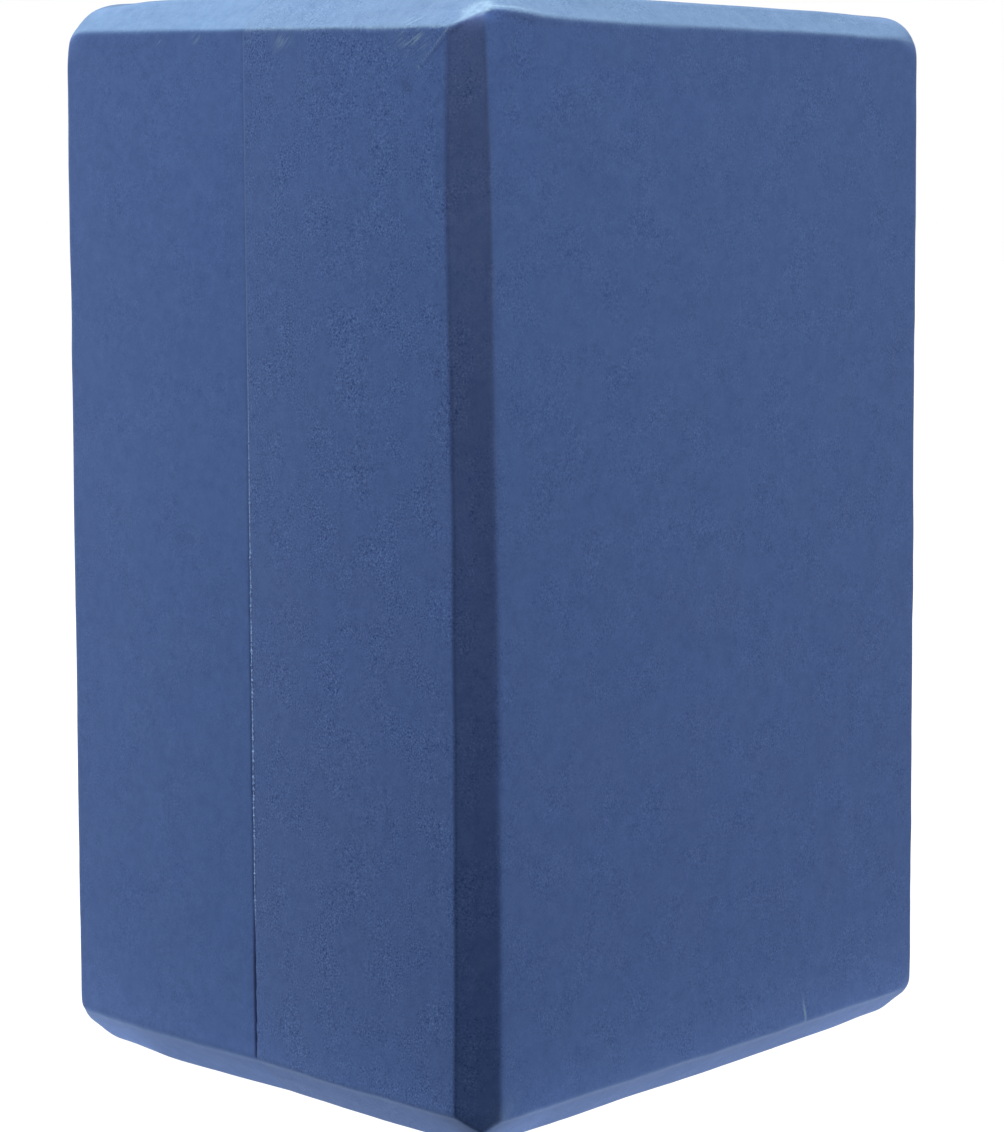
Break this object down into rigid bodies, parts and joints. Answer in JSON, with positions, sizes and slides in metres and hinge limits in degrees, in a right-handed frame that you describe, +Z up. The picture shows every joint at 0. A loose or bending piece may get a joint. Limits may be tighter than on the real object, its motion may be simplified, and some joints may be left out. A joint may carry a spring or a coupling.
{
  "type": "foam yoga block",
  "caption": "Rectangular foam yoga block of glued slabs with planed, sanded edges, stood on end; a firm support for hands, head or hips in yoga, pilates and therapy.",
  "frame": {"origin": "middle of the foot, on the plane that the block stands on", "axes": "+Z up along the block's length, +X across its width, +Y through the two slabs from the front slab to the rear slab"},
  "size_m": [0.1524, 0.127, 0.2286],
  "materials": {
    "front_foam": "matte",
    "rear_foam": "matte",
    "cement": "satin"
  },
  "bodies": {
    "root": {"front_slab": "front_foam", "rear_slab": "rear_foam", "glue_film": "cement"}
  },
  "joints": []
}
